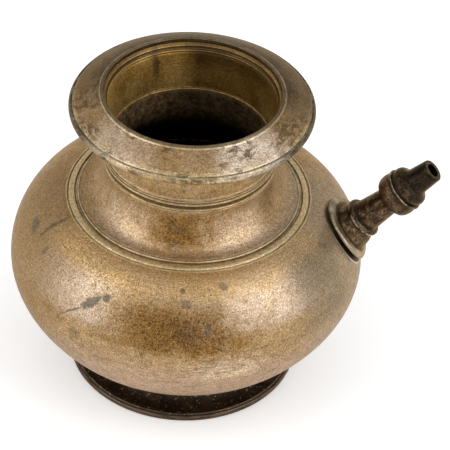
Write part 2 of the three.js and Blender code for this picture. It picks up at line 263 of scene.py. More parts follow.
def ring_mesh(name, points, edges, place, around, placed=None):
    """A skin of rings, one for each point of the outline; placed may move a ring's corners."""
    closed = points[0][0] > ON_AXIS
    corners, rows = [], []
    marks = {"wear": [], "grime": [], "tone": []}
    for (r, z, tone), wear, grime in zip(points, *edges):
        ring = around if r > ON_AXIS else 1
        rows.append((len(corners), ring))
        for j in range(ring):
            turn = 2 * math.pi * j / around
            wide, height = placed(r, z, tone, turn) if placed else (r, z)
            corners.append((wide * math.cos(turn), wide * math.sin(turn), height))
            marks["wear"].append(wear)
            marks["grime"].append(grime)
            marks["tone"].append(tone)
    faces = []
    for i in range(len(points) if closed else len(points) - 1):
        (a, ring_a), (b, ring_b) = rows[i], rows[(i + 1) % len(points)]
        for j in range(around):
            k = (j + 1) % around
            if ring_a == 1:
                faces.append((a, b + k, b + j))
            elif ring_b == 1:
                faces.append((a + j, a + k, b))
            else:
                faces.append((a + j, a + k, b + k, b + j))
    return add_mesh(name, corners, faces, marks, place)


def turned(name, outline, place, around, radius, fine, coarse, spread=0.55):
    """A turned piece with small round edges; fine and coarse are its longest steps outside and inside."""
    closed = outline[0][0] > ON_AXIS
    points = divided(rounded(outline, radius, closed), closed, fine, coarse)
    return ring_mesh(name, points, edge_marks(points, closed, spread), place, around)


def cut(piece, cutter):
    """Takes the cutter out of a piece and removes the cutter."""
    modifier = piece.modifiers.new("cut", "BOOLEAN")
    modifier.operation = "DIFFERENCE"
    modifier.solver = "EXACT"
    modifier.object = cutter
    bpy.context.view_layer.update()
    found = piece.evaluated_get(bpy.context.evaluated_depsgraph_get())
    mesh = bpy.data.meshes.new_from_object(found, preserve_all_data_layers=True,
                                           depsgraph=bpy.context.evaluated_depsgraph_get())
    piece.modifiers.clear()
    piece.data = mesh
    bpy.data.objects.remove(cutter)


# The body's lines

lower_line = bezier((BOWL_FLOOR, BOWL_BOTTOM), (BOWL_FLOOR + 14, BOWL_BOTTOM),
                    (BELLY_RADIUS, BELLY_HEIGHT - 20.5), (BELLY_RADIUS, SEAM_LOW), 72)
upper_curve = ((BELLY_RADIUS, SEAM_HIGH), (BELLY_RADIUS, BELLY_HEIGHT + 17),
               (SHOULDER_EDGE + 13.6, SHOULDER_HEIGHT - 1.7), (SHOULDER_EDGE, SHOULDER_HEIGHT))
upper_line = bezier(*upper_curve, 64)
cove_line = bezier(COVE_START, (COVE_START[0] - 6, COVE_START[1] + 0.9),
                   (NECK_RADIUS, NECK_HEIGHT - 11), (NECK_RADIUS, NECK_HEIGHT), 36)

foot_flare = bezier((50.3, 3.5), (45.4, 3.9), (42.2, 5.6), (FOOT_NECK, 9.4), 16)
foot_outline = (
    toned(0, (48.7, 0), (50.9, 0), (51.5, 0.5), (FOOT_RADIUS, 1.3), (51.5, 2.2), (50.9, 2.7), (50.6, 2.6))
    + foot_flare
    + toned(0, (FOOT_SEAT - 0.4, 10.1), (FOOT_SEAT, FOOT_TOP))
    + toned(1, (FOOT_SEAT - 4.9, FOOT_TOP), (38.6, 9.2), (39.9, 6.2), (43.6, 3.2), (47.6, 1.9))
)

lower_outline = (
    toned(0, (0, BOWL_BOTTOM))
    + lower_line
    + toned(1, (TONGUE_OUTER, SEAM_LOW), (TONGUE_OUTER, TONGUE_TOP), (INNER_BELLY, TONGUE_TOP))
    + beside(lower_line, WALL, 1.0)[::-3]
    + toned(1, (0, BOWL_BOTTOM + WALL))
)

seam_outline = toned(0, (SLOT_RADIUS, SEAM_LOW), (BELLY_RADIUS, SEAM_LOW), (BELLY_RADIUS, SEAM_HIGH),
                     (SLOT_RADIUS, SEAM_HIGH))

groove_outline = toned(0, (NECK_EDGE, NECK_SEAT_HEIGHT + 0.1), (NECK_SEAT, NECK_SEAT_HEIGHT + 0.1),
                       (NECK_SEAT, SHOULDER_HEIGHT - 0.05), (NECK_EDGE + 0.3, SHOULDER_HEIGHT - 0.1),
                       (NECK_EDGE, SHOULDER_HEIGHT - 0.05))

shoulder_turning = toned(0, (53.9, 89.88), (53.45, 90.12), (53.1, 90.05), (52.85, 89.62), (52.6, 89.66),
                         (52.3, 90.2), (51.9, 90.45), (51.2, 90.64), (50.5, 90.74), (50.05, 90.72),
                         (49.8, 90.45), (49.62, 90.0), (NECK_SEAT, 89.93))
upper_outline = (
    upper_line[:-2]
    + shoulder_turning
    + toned(1, (NECK_SEAT, NECK_SEAT_HEIGHT), (NECK_LEDGE, NECK_SEAT_HEIGHT),
            (NECK_LEDGE, SHOULDER_HEIGHT - WALL))
    + [p for p in beside(upper_line, WALL, 1.0)[::-3] if p[1] > TONGUE_TOP + 1]
    + toned(1, (INNER_BELLY, SLOT_TOP), (SLOT_RADIUS, SLOT_TOP), (SLOT_RADIUS, SEAM_HIGH))
)

neck_turning = toned(0, (36.75, 109.1), (37.3, 109.4), (37.5, 109.8), (37.2, 110.2), (36.55, 110.5),
                     (36.45, 111.4), (37.0, 111.75), (37.35, 112.25), (37.15, 112.75), (36.6, 113.1),
                     (36.6, 113.3), (36.95, 113.55), (36.95, 113.85), (36.6, STUB_START))
neck_outline = (
    toned(0, (NECK_EDGE, NECK_SEAT_HEIGHT + SEAM_GAP), (NECK_EDGE, 90.05), (48.62, 90.6), (48.45, 90.98),
          (48.2, 91.12), (47.98, 91.06), (47.85, 90.98), (47.6, 91.1))
    + cove_line[1:]
    + neck_turning
    + toned(1, (STUB_RADIUS, STUB_START), (STUB_RADIUS, STUB_END), (THROAT_RADIUS - 0.2, STUB_END))
    + [p for p in beside(cove_line, WALL, 1.0)[::-2] if p[1] > NECK_SEAT_HEIGHT + 0.4]
    + toned(1, (46.5, NECK_SEAT_HEIGHT + SEAM_GAP))
)

neck_seam_outline = toned(0, (COLLAR_BORE, STUB_START), (36.4, STUB_START), (36.15, STUB_START + 0.3),
                          (36.4, COLLAR_START), (COLLAR_BORE, COLLAR_START))

rim_underside = bezier((COLLAR_NECK, 124), (38.8, 135.3), (44, 137.5), (50.3, RIM_EDGE_BOTTOM + 0.45), 20)
rim_face = bezier((50.75, RIM_EDGE_TOP + 0.3), (47.4, 140.95), (43.6, 142.75),
                  (RIDGE_RADIUS + 0.5, 143.9), 10)
inside_wall = bezier((36.0, 138.3), (35.3, 134), (34.3, 127), (THROAT_RADIUS, 121.9), 12, 0.5)
rim_outline = (
    toned(0, (COLLAR_BORE, COLLAR_START), (36.55, COLLAR_START), (36.8, 114.95), (36.7, 115.4),
          (36.35, 115.75), (COLLAR_NECK, 116.2))
    + rim_underside
    + toned(0, (51.0, RIM_EDGE_BOTTOM), (51.9, RIM_EDGE_BOTTOM + 0.25), (52.4, RIM_EDGE_BOTTOM + 1.0),
            (RIM_RADIUS, RIM_EDGE_BOTTOM + 1.8), (52.35, RIM_EDGE_TOP - 1.0), (51.95, RIM_EDGE_TOP - 0.4),
            (51.5, RIM_EDGE_TOP - 0.15), (51.25, RIM_EDGE_TOP - 0.42), (51.05, RIM_EDGE_TOP - 0.36))
    + rim_face
    + toned(0, (RIDGE_RADIUS + 0.2, 144.4), (RIDGE_RADIUS - 0.1, 144.62), (RIDGE_RADIUS - 0.5, 144.55),
            (38.92, 144.4), (LIP_RADIUS + 0.95, LIP_HEIGHT - 0.05), (LIP_RADIUS + 0.15, LIP_HEIGHT),
            (LIP_RADIUS - 0.1, 144.7))
    + toned(0.5, (LIP_RADIUS, 142.9), (37.3, 142.3), (36.8, 141.9), (36.6, 141.05), (36.45, 140.8),
            (36.2, 140.5), (36.42, 140.12), (36.15, 139.75), (36.1, 139.45), (36.28, 139.1))
    + inside_wall
    + toned(0.5, (33.75, 121.55), (33.85, STUB_END + SEAM_GAP))
    + toned(1, (COLLAR_BORE, STUB_END + SEAM_GAP))
)

# The spout's place and its stations along its own axis

root_radius = next(p[0] for p in bezier(*upper_curve, 2000) if p[1] >= SPOUT_ROOT_HEIGHT)
SPOUT_AXIS_HEIGHT = SPOUT_ROOT_HEIGHT - root_radius * math.tan(SPOUT_TILT)
COS_T, SIN_T = math.cos(SPOUT_TILT), math.sin(SPOUT_TILT)
SPOUT_PLACE = BODY_PLACE @ Matrix((
    (SIN_T, 0, COS_T, 0),
    (0, 1, 0, 0),
    (-COS_T, 0, SIN_T, SPOUT_AXIS_HEIGHT),
    (0, 0, 0, 1),
))
spout_axis = Vector((COS_T, 0, SIN_T))


def stations_of(node):
    """Lowest and highest station of a solid along the spout, in millimetres."""
    origin = Vector((POT_AXIS_X, 0, SPOUT_AXIS_HEIGHT))
    along = [(v.co / MM - origin).dot(spout_axis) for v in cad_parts[node].data.vertices]
    return min(along), max(along)


spigot_end, socket_end = stations_of("spout_base")
tube_spigot_start, knop_end = stations_of("spout_tube")
nozzle_spigot_start, nozzle_tip = stations_of("spout_nozzle")
roll_start = socket_end - ROLL_LENGTH
socket_start = roll_start - SOCKET_LENGTH
tube_start = socket_end + SPOUT_SEAM
tube_end = knop_end - KNOP_LENGTH
nozzle_start = knop_end + SPOUT_SEAM
nozzle_root = nozzle_start + KNOP_FRONT

pot_line = [(r, z) for r, z, _ in upper_line]
pot_line += [(pot_line[-1][0] - 6 * k, pot_line[-1][1] + 0.4 * k) for k in (1, 2, 3)]

# Stations between which the spout meets the bowl, and how often that range is halved to find where
STATION_RANGE = (85.0, 130.0)
HALVINGS = 26


def over_pot(radius, turn, distance):
    """Station at which a line along the spout meets the bowl's surface grown by a distance."""
    x0, y0 = radius * math.cos(turn), radius * math.sin(turn)

    def outside(station):
        x = SIN_T * x0 + COS_T * station
        z = SPOUT_AXIS_HEIGHT - COS_T * x0 + SIN_T * station
        reach = math.hypot(x, y0)
        best = None
        for (r_a, z_a), (r_b, z_b) in zip(pot_line, pot_line[1:]):
            dr, dz = r_b - r_a, z_b - z_a
            length = dr * dr + dz * dz
            t = max(0.0, min(1.0, ((reach - r_a) * dr + (z - z_a) * dz) / length))
            gap_r, gap_z = reach - r_a - t * dr, z - z_a - t * dz
            gap = math.hypot(gap_r, gap_z)
            if best is None or gap < best[0]:
                side = gap_r * dz - gap_z * dr
                best = (gap, math.copysign(gap, side))
        return best[1] - distance

    low, high = STATION_RANGE
    for _ in range(HALVINGS):
        middle = (low + high) / 2
        if outside(middle) > 0:
            high = middle
        else:
            low = middle
    return (low + high) / 2


# Materials

BLOT_DEPTH = 30.0


def fill(node, values):
    for name, value in values.items():
        node.inputs[name].default_value = value


class Paint:
    """A short way to write a node material."""

    def __init__(self, name, metallic, coat=0.0, edge=(1.0, 1.0, 1.0)):
        self.material = bpy.data.materials.new(name)
        self.material.use_nodes = True
        self.tree = self.material.node_tree
        self.shader = self.tree.nodes["Principled BSDF"]
        fill(self.shader, {"Metallic": metallic, "Specular Tint": (*edge, 1.0)})
        fill(self.shader, {"Coat Weight": coat, "Coat Roughness": 0.3})
        where = self.node("ShaderNodeTexCoord").outputs["Object"]
        scaled = self.vector("MULTIPLY", where, (1000, 1000, 1000))
        self.place = self.vector("SUBTRACT", scaled, (POT_AXIS_X, 0, 0))
        split = self.node("ShaderNodeSeparateXYZ")
        self.join(self.place, split.inputs[0])
        self.x, self.y, self.z = split.outputs
        self.radius = self.length(self.x, self.y)
        self.turn = self.math("ARCTAN2", self.x, self.times(self.y, -1.0))
        up = self.minus(self.z, SPOUT_AXIS_HEIGHT)
        self.along = self.plus(self.times(self.x, COS_T), self.times(up, SIN_T))
        self.across = self.minus(self.times(up, COS_T), self.times(self.x, SIN_T))
        self.spout_distance = self.length(self.y, self.across)
        self.ragged = None
        self.color = None

    def node(self, kind, **settings):
        made = self.tree.nodes.new(kind)
        for key, value in settings.items():
            setattr(made, key, value)
        return made

    def join(self, source, socket):
        if isinstance(source, bpy.types.NodeSocket):
            self.tree.links.new(source, socket)
        elif isinstance(source, (int, float)):
            socket.default_value = source
        else:
            socket.default_value = source if len(source) == len(socket.default_value) else (*source, 1.0)

    def feed(self, made, *values):
        for value, socket in zip(values, made.inputs):
            self.join(value, socket)
        return made.outputs[0]

    def math(self, operation, a, b=0.0, clamp=False):
        return self.feed(self.node("ShaderNodeMath", operation=operation, use_clamp=clamp), a, b)

    def vector(self, operation, a, b):
        return self.feed(self.node("ShaderNodeVectorMath", operation=operation), a, b)

    def combine(self, x, y, z):
        return self.feed(self.node("ShaderNodeCombineXYZ"), x, y, z)

    def step(self, value, low, high, to_low=0.0, to_high=1.0):
        made = self.node("ShaderNodeMapRange", interpolation_type="SMOOTHSTEP")
        return self.feed(made, value, low, high, to_low, to_high)

    def noise(self, scale, detail=4.0, rough=0.55, distortion=0.0, place=None, fourth=None):
        made = self.node("ShaderNodeTexNoise", noise_dimensions="3D" if fourth is None else "4D")
        self.join(self.place if place is None else place, made.inputs["Vector"])
        fill(made, {"Scale": scale, "Detail": detail, "Roughness": rough, "Distortion": distortion})
        if fourth is not None:
            self.join(fourth, made.inputs["W"])
        return made.outputs["Fac"]

    def ring_noise(self, around, across, detail, rough, distortion=0.0):
        """Noise drawn out round the pot: units a radian round it, and units a millimetre across."""
        east = self.math("DIVIDE", self.x, self.radius)
        north = self.math("DIVIDE", self.y, self.radius)
        place = self.combine(self.times(east, around), self.times(north, around), self.times(self.z, across))
        return self.noise(1.0, detail, rough, distortion, place, self.times(self.radius, across))

    def mix(self, share, a, b):
        made = self.node("ShaderNodeMix", data_type="RGBA", clamp_factor=True)
        self.join(share, made.inputs[0])
        self.join(a, made.inputs[6])
        self.join(b, made.inputs[7])
        return made.outputs[2]

    def scaled(self, color, amount):
        made = self.node("ShaderNodeVectorMath", operation="SCALE")
        self.join(color, made.inputs[0])
        self.join(amount, made.inputs["Scale"])
        return made.outputs[0]

    def mark(self, name):
        return self.node("ShaderNodeAttribute", attribute_name=name).outputs["Fac"]

    def times(self, *values):
        result = values[0]
        for value in values[1:]:
            result = self.math("MULTIPLY", result, value)
        return result

    def length(self, a, b):
        return self.math("SQRT", self.plus(self.times(a, a), self.times(b, b)))

    def most(self, *values):
        result = values[0]
        for value in values[1:]:
            result = self.math("MAXIMUM", result, value)
        return result

    def plus(self, a, b, clamp=False):
        return self.math("ADD", a, b, clamp)

    def minus(self, a, b):
        return self.math("SUBTRACT", a, b)

    def over(self, base, color, *share):
        return self.mix(self.times(*share), base, color)

    def lay(self, color, *share):
        """Lays a colour over the paint; the shares are multiplied."""
        self.color = self.over(self.color, color, *share)

    def shade(self, amount):
        self.color = self.scaled(self.color, amount)

    def band(self, value, centre, half, soft):
        """1 near a centre value and 0 away from it."""
        away = self.math("ABSOLUTE", self.minus(value, centre))
        return self.step(away, half, half + soft, 1.0, 0.0)

    def blot(self, centre, size, turn, soft, ragged):
        """A ragged spot on the surface, centre and half sizes in millimetres."""
        if self.ragged is None:
            self.ragged = self.minus(self.noise(0.45, 5.0, 0.68), 0.5)
        mapping = self.node("ShaderNodeMapping", vector_type="TEXTURE")
        self.join(self.place, mapping.inputs["Vector"])
        facing = (0, turn, math.atan2(centre[0], -centre[1]))
        fill(mapping, {"Location": centre, "Rotation": facing, "Scale": (size[0], BLOT_DEPTH, size[1])})
        away = self.node("ShaderNodeVectorMath", operation="LENGTH")
        self.join(mapping.outputs[0], away.inputs[0])
        edge = self.times(self.ragged, 2.0 * ragged)
        return self.step(self.plus(away.outputs["Value"], edge), 1.0 - soft, 1.0 + soft * 0.3, 1.0, 0.0)

    def finish(self, rough, height, depth):
        self.join(self.color, self.shader.inputs["Base Color"])
        self.join(rough, self.shader.inputs["Roughness"])
        bump = self.node("ShaderNodeBump")
        fill(bump, {"Strength": 1.0, "Distance": depth})
        self.join(height, bump.inputs["Height"])
        self.join(bump.outputs[0], self.shader.inputs["Normal"])
        return self.material


# Colours as the share of red, green and blue light that the metal throws back

OCHRE_TAN = (0.43, 0.265, 0.11)
TAN = (0.525, 0.346, 0.174)
PINK = (0.59, 0.408, 0.275)
HIGHLIGHT_PEARL = (0.64, 0.49, 0.36)
PALE = (0.66, 0.475, 0.27)
UMBER = (0.195, 0.125, 0.056)
STREAK = (0.15, 0.096, 0.054)
OCHRE_PATINA_AND_SHADE = (0.345, 0.166, 0.032)
FLECK = (0.052, 0.032, 0.016)
COVE_POLISH_AND_HIGHLIGHT = (0.655, 0.465, 0.295)
LEFT_EDGE_SHADE = (0.32, 0.198, 0.084)
RIGHT_EDGE_SHADE = (0.4, 0.325, 0.24)
TOP_FRONT_LIGHT_GOLD = (0.76, 0.485, 0.205)
SIDE_SHADE = (0.205, 0.155, 0.096)
LOW_FRONT_HIGHLIGHT = (0.8, 0.6, 0.4)
PATCH_CORE_PATINA_AND_SHADE = (0.13, 0.066, 0.027)
BAND_CREAM = (0.75, 0.56, 0.285)
RIM_BROWN = (0.275, 0.165, 0.078)
RIM_HIGHLIGHT_PEARL = (0.8, 0.62, 0.46)
RIM_HIGHLIGHT_BRIGHT = (0.96, 0.79, 0.62)
RIM_SMUDGE = (0.15, 0.092, 0.042)
RIM_BACK_SHADE = (0.135, 0.082, 0.032)
RIM_LIP_SHADOW = (0.036, 0.021, 0.009)
RIM_EDGE_DARK = (0.052, 0.04, 0.026)
SCRATCH = (0.12, 0.085, 0.05)
STAIN_DARK = (0.08, 0.068, 0.05)
STAIN_GREY = (0.16, 0.135, 0.098)
FLANGE_SHADOW = (0.035, 0.024, 0.014)
FLANGE_GLINT = (0.8, 0.7, 0.5)
GROOVE_DIRT = (0.085, 0.05, 0.02)
LIP_BROWN = (0.115, 0.078, 0.04)
GOLD_DEEP = (0.68, 0.39, 0.095)
GOLD_LIGHT = (0.92, 0.6, 0.19)
GOLD_MOTTLE = (0.38, 0.205, 0.055)
GOLD_RING = (0.26, 0.14, 0.036)
GOLD_SHADE = (0.115, 0.055, 0.006)
LEDGE_BROWN = (0.155, 0.088, 0.032)
DRIP = (0.09, 0.06, 0.032)
UNDER_LIP_SHADOW = (0.06, 0.034, 0.013)
CRUST_DARK = (0.15, 0.09, 0.038)
CRUST_LIGHT = (0.55, 0.38, 0.2)
CRUST_FLECK = (1.0, 0.9, 0.72)
DEEP_INSIDE_SHADE = (0.012, 0.007, 0.004)
GRIME = (0.078, 0.054, 0.028)
VERDIGRIS = (0.36, 0.42, 0.34)
WORN_EDGE_AND_GLINT = (0.74, 0.6, 0.36)
WORN_GOLD = (0.8, 0.55, 0.22)

FOOT_BLACK = (0.011, 0.006, 0.003)
FOOT_BROWN = (0.04, 0.023, 0.012)
FOOT_SPECK = (0.13, 0.088, 0.052)
FOOT_GREY = (0.36, 0.295, 0.21)
FOOT_EDGE = (0.105, 0.062, 0.034)
FOOT_NECK_REFLECTION = (0.15, 0.096, 0.044)
FOOT_GRIME = (0.008, 0.006, 0.004)
FOOT_WORN = (0.25, 0.175, 0.11)

SPOUT_BLACK = (0.02, 0.011, 0.005)
SPOUT_BROWN = (0.092, 0.056, 0.029)
SPOUT_STREAK = (0.17, 0.1, 0.042)
SPOUT_RING = (0.02, 0.013, 0.008)
SPOUT_SPECK = (0.3, 0.215, 0.125)
SPOUT_PIT = (0.013, 0.009, 0.006)
FLANGE_BROWN = (0.2, 0.15, 0.095)
FLANGE_TAN = (0.42, 0.335, 0.225)
FLANGE_SPECK = (0.095, 0.064, 0.036)
SPOUT_GRIME = (0.014, 0.009, 0.005)
SPOUT_WORN_AND_GLINT = (0.66, 0.56, 0.42)
BORE_BLACK = (0.008, 0.006, 0.005)

BRAZE_DARK = (0.03, 0.021, 0.014)
BRAZE_LIGHT = (0.105, 0.08, 0.05)
BRAZE_SPECK = (0.19, 0.17, 0.12)

# Dark stains: centre, half length and half height in millimetres, tilt, strength
STAINS = (
    ((-33.5, -64.0, 76.9), (5.2, 2.2), -0.62, 1.0),
    ((-40.5, -63.0, 71.5), (5.2, 0.55), -0.62, 0.85),
    ((-45.5, -61.5, 67.3), (6.0, 0.35), -0.75, 0.65),
    ((-26.6, -64.1, 80.6), (2.1, 1.5), -0.3, 0.95),
    ((-63.5, -23.5, 82.0), (4.5, 2.0), 0.3, 0.75),
    ((-55.0, -28.2, 86.5), (1.3, 4.4), 0.1, 0.75),
    ((-57.1, -38.4, 81.2), (1.2, 2.2), 0.3, 0.65),
    ((5.0, -61.8, 86.8), (1.3, 0.9), 0.0, 0.85),
    ((7.3, -66.3, 83.3), (2.6, 1.4), 0.2, 0.65),
    ((21.3, -57.3, 87.3), (2.0, 1.1), 0.0, 0.70),
    ((17.1, -71.7, 74.3), (1.8, 3.0), 0.0, 0.75),
    ((-41.1, -66.0, 60.4), (3.0, 3.0), 0.0, 0.5),
    ((-24.1, -71.7, 69.8), (3.5, 1.2), -0.2, 0.35),
    ((-17.0, -68.7, 78.8), (3.2, 0.5), 0.25, 0.6),
    ((0.5, -38.4, 100.0), (5.0, 2.4), 0.0, 0.35),
    ((-1.9, -42.0, 93.9), (4.0, 0.45), -0.5, 0.55),
    ((1.3, -36.2, 119.4), (0.9, 0.9), 0.0, 0.85),
    ((60.3, -21.7, 85.5), (2.6, 1.1), 0.3, 0.45),
)


def body_bronze():
    p = Paint("aged_bronze", metallic=0.85, edge=(0.86, 0.77, 0.66))
    wear, grime, tone = p.mark("wear"), p.mark("grime"), p.mark("tone")
    outside = p.step(tone, 0.05, 0.3, 1.0, 0.0)
    broad = p.noise(0.02, 3.0, 0.55, 0.4)
    cloud = p.noise(0.07, 6.0, 0.64, 0.6)
    mottle = p.noise(0.24, 7.0, 0.7, 0.3)
    grain = p.noise(0.95, 6.0, 0.78)
    fine = p.noise(2.3, 4.0, 0.75)
    lathe = p.ring_noise(5.0, 2.2, 5.0, 0.7)
    streak = p.ring_noise(8.0, 1.05, 6.0, 0.75, 0.4)
    side = p.math("ABSOLUTE", p.turn)

    # ochre and tan clouds; the pinker metal on the sides of the belly and on the cove is partly hand polish
    # and partly painted highlight, and the metal low on the belly is pinker too
    p.color = p.mix(p.step(cloud, 0.36, 0.62), OCHRE_TAN, TAN)
    level = p.plus(p.z, p.step(p.turn, -0.3, 0.3, 4.0, 0.0))
    # the pinker zones on both sides of the belly and on the cove are painted highlights, partly polish
    held_and_highlight = p.most(p.band(level, 81.0, 6.0, 7.0), p.band(p.z, 98.0, 4.0, 6.0))
    held_and_highlight = p.times(held_and_highlight, p.band(side, 0.66, 0.18, 0.32), 0.9)
    low_belly = p.step(p.plus(p.z, p.times(cloud, 30.0)), 79.0, 60.0)
    polish_and_highlight = p.most(held_and_highlight, low_belly, p.step(broad, 0.54, 0.68, 0.0, 0.6))
    polish_and_highlight = p.times(polish_and_highlight, p.step(mottle, 0.7, 0.4, 0.6, 1.0))
    on_cove = p.times(p.step(p.z, 91.0, 95.0), p.step(p.z, 106.0, 102.0))
    p.lay(p.mix(on_cove, p.mix(held_and_highlight, PINK, HIGHLIGHT_PEARL), COVE_POLISH_AND_HIGHLIGHT), polish_and_highlight)
    dull = p.times(p.step(mottle, 0.48, 0.72), p.minus(0.45, p.times(held_and_highlight, 0.25)))
    p.lay(UMBER, dull)
    p.lay(PALE, p.step(mottle, 0.4, 0.26), 0.25)
    below_band = p.step(p.z, 96.0, 90.0)
    # painted shade: the belly is browner at its left edge and greyer at its right edge, below the shoulder
    p.lay(LEFT_EDGE_SHADE, p.band(p.turn, -1.25, 0.36, 0.4), below_band, 0.65)
    p.lay(RIGHT_EDGE_SHADE, p.band(p.turn, 1.45, 0.3, 0.45), below_band, 0.55)
    # painted light: the top of the bowl under the shoulder is brighter gold towards the front
    top = p.times(p.band(p.z, 89.5, 1.5, 6.0), p.step(p.radius, 52.6, 54.2))
    p.lay(TOP_FRONT_LIGHT_GOLD, top, p.step(cloud, 0.34, 0.6, 0.75, 0.5), p.band(p.turn, 0.1, 0.9, 0.4))
    right_side = p.times(p.band(p.turn, 1.02, 0.1, 0.2), p.band(p.z, 75.0, 10.0, 8.0))
    p.lay(SIDE_SHADE, right_side, p.step(cloud, 0.36, 0.6, 0.3, 0.68))
    # painted highlight: a pale spot low on the front right of the belly
    light = p.blot((27.4, -72.8, 54.5), (17.0, 8.0), 0.0, 0.7, 1.0)
    p.lay(LOW_FRONT_HIGHLIGHT, light, p.step(mottle, 0.64, 0.4, 0.45, 0.9), outside)

    # dark streaks that run round the pot, most of all low on the belly
    low = p.times(p.step(p.z, 76.0, 60.0, 0.25, 1.0), p.step(broad, 0.38, 0.58, 0.4, 1.0))
    p.lay(STREAK, p.step(streak, 0.52, 0.63), low, 0.66)
    p.lay(STREAK, p.step(lathe, 0.56, 0.72), 0.3)

    # a darker ochre patch on the front of the belly, and less of it on the neck, partly patina and partly
    # painted shade
    around = p.plus(p.turn, p.times(p.minus(cloud, 0.5), 1.1))
    front = p.band(around, 0.02, 0.05, 0.55)
    height = p.plus(p.z, p.times(p.minus(mottle, 0.5), 20.0))
    belly_zone = p.times(p.band(height, 73.0, 5.0, 8.0), p.step(p.z, 87.0, 79.0))
    cove_zone = p.times(p.band(height, 100.5, 2.0, 9.0), p.step(p.radius, 45.0, 41.0))
    on_band = p.times(p.band(p.radius, 51.3, 1.6, 0.3), p.step(p.z, 88.5, 89.5))
    patina_and_shade_patch = p.times(front, p.plus(belly_zone, cove_zone), outside, p.minus(1.0, on_band))
    p.lay(OCHRE_PATINA_AND_SHADE, patina_and_shade_patch, 0.88)
    p.lay(PATCH_CORE_PATINA_AND_SHADE, p.blot((8.5, -73.0, 74.3), (11.0, 5.5), 0.1, 0.9, 1.0), outside, 0.48)
    p.lay(BAND_CREAM, on_band, 0.75)

    # the rim is greyer in blotches, with painted highlights on both sides of its front; its back is painted
    # dark brown as shade, with a painted shadow along the lip there, and its rolled outer edge is darker,
    # most at the back
    on_rim = p.times(p.step(p.z, 131.0, 134.5), outside)
    spread = p.times(p.band(p.turn, -0.85, 0.25, 0.3), 0.045)
    blotch = p.step(p.plus(p.ring_noise(8.0, 0.34, 7.0, 0.66, 0.9), spread), 0.46, 0.56)
    rim_front = p.times(on_rim, p.step(side, 1.9, 0.9))
    # painted highlights on the left and right of the rim's front
    rim_left_highlight = p.times(p.band(p.turn, -0.62, 0.14, 0.36), 0.62)
    rim_highlight = p.most(rim_left_highlight, p.band(p.turn, 0.68, 0.14, 0.34))
    p.lay(RIM_BROWN, rim_front, p.step(p.noise(0.3, 6.0, 0.7, 0.9), 0.45, 0.6), 0.5)
    rim_highlight = p.times(rim_highlight, rim_front, p.step(p.noise(0.14, 5.0, 0.6, 0.5), 0.34, 0.62, 0.55, 1.0))
    p.lay(p.mix(p.step(p.turn, -0.2, 0.2), RIM_HIGHLIGHT_PEARL, RIM_HIGHLIGHT_BRIGHT), rim_highlight)
    p.lay(RIM_SMUDGE, on_rim, blotch, p.step(p.noise(0.075, 3.0), 0.42, 0.56, 0.15, 1.0), 0.85)
    # painted shade over the back of the rim, with a painted shadow along the lip there
    back_shade_share = p.step(side, 0.95, 1.8)
    back_face_shade = p.mix(p.step(p.radius, 48.0, 40.5), RIM_BACK_SHADE, RIM_LIP_SHADOW)
    p.lay(back_face_shade, on_rim, back_shade_share, p.step(mottle, 0.3, 0.62, 0.96, 0.75))
    roll = p.times(p.step(p.radius, 50.7, 51.1), on_rim, p.step(side, 0.4, 1.1, 0.25, 1.0))
    p.lay(RIM_EDGE_DARK, roll, p.step(lathe, 0.25, 0.6, 1.0, 0.65))

    # irregular dark specks, denser in the patch
    speckle = p.noise(0.85, 7.0, 0.82)
    crowd = p.plus(p.times(patina_and_shade_patch, 0.07), p.step(broad, 0.36, 0.6, -0.01, 0.032))
    speckled = p.step(p.plus(speckle, crowd), 0.605, 0.665)
    pepper = p.step(p.plus(p.noise(1.5, 5.0, 0.8), p.times(crowd, 0.8)), 0.58, 0.635)
    pitted = p.times(p.most(p.times(speckled, 0.9), p.times(pepper, 0.75)), outside)
    p.lay(FLECK, pitted, 0.85)

    # a few long hairline scratches
    scratch = 0.0
    for scale, level in ((0.045, 0.5), (0.062, 0.47), (0.085, 0.53)):
        line = p.math("ABSOLUTE", p.minus(p.noise(scale, 1.5, 0.5, 1.2), level))
        piece = p.times(p.step(line, 0.0006, 0.0024, 1.0, 0.0),
                        p.step(p.noise(scale * 2.6, 2.0), 0.57, 0.61))
        scratch = p.most(scratch, piece)
    p.lay(SCRATCH, scratch, outside, 0.6)

    # stains seen on the left of the belly and shoulder, and small dark spots on the front
    stain = 0.0
    for centre, size, turn, strength in STAINS:
        spot = p.times(p.blot(centre, size, turn, 0.35, 0.85), strength)
        stain = p.most(stain, spot)
    stain = p.times(stain, outside, p.step(grain, 0.3, 0.65, 1.0, 0.6))
    p.lay(p.mix(p.step(mottle, 0.4, 0.6), STAIN_DARK, STAIN_GREY), stain)

    # round the spout's flange the bowl is painted dark as the flange's shadow, deepest at the lower left,
    # with one thin painted highlight line outside it there
    spout_gap = p.minus(p.spout_distance, FLANGE_RADIUS)
    near_spout = p.times(p.step(p.z, 60.0, 62.0), p.step(p.x, 20.0, 30.0), outside)
    lower_left = p.step(p.plus(p.across, p.times(p.y, 1.2)), 0.0, -12.0)
    flange_shade_depth = p.plus(0.35, p.times(lower_left, 0.6))
    # painted shadow round the flange, and below it a painted highlight line
    p.lay(FLANGE_SHADOW, p.step(spout_gap, 0.1, 0.35, 1.0, 0.0), near_spout, flange_shade_depth)
    p.lay(FLANGE_GLINT, p.band(spout_gap, 0.62, 0.18, 0.15), near_spout, lower_left, 0.9)

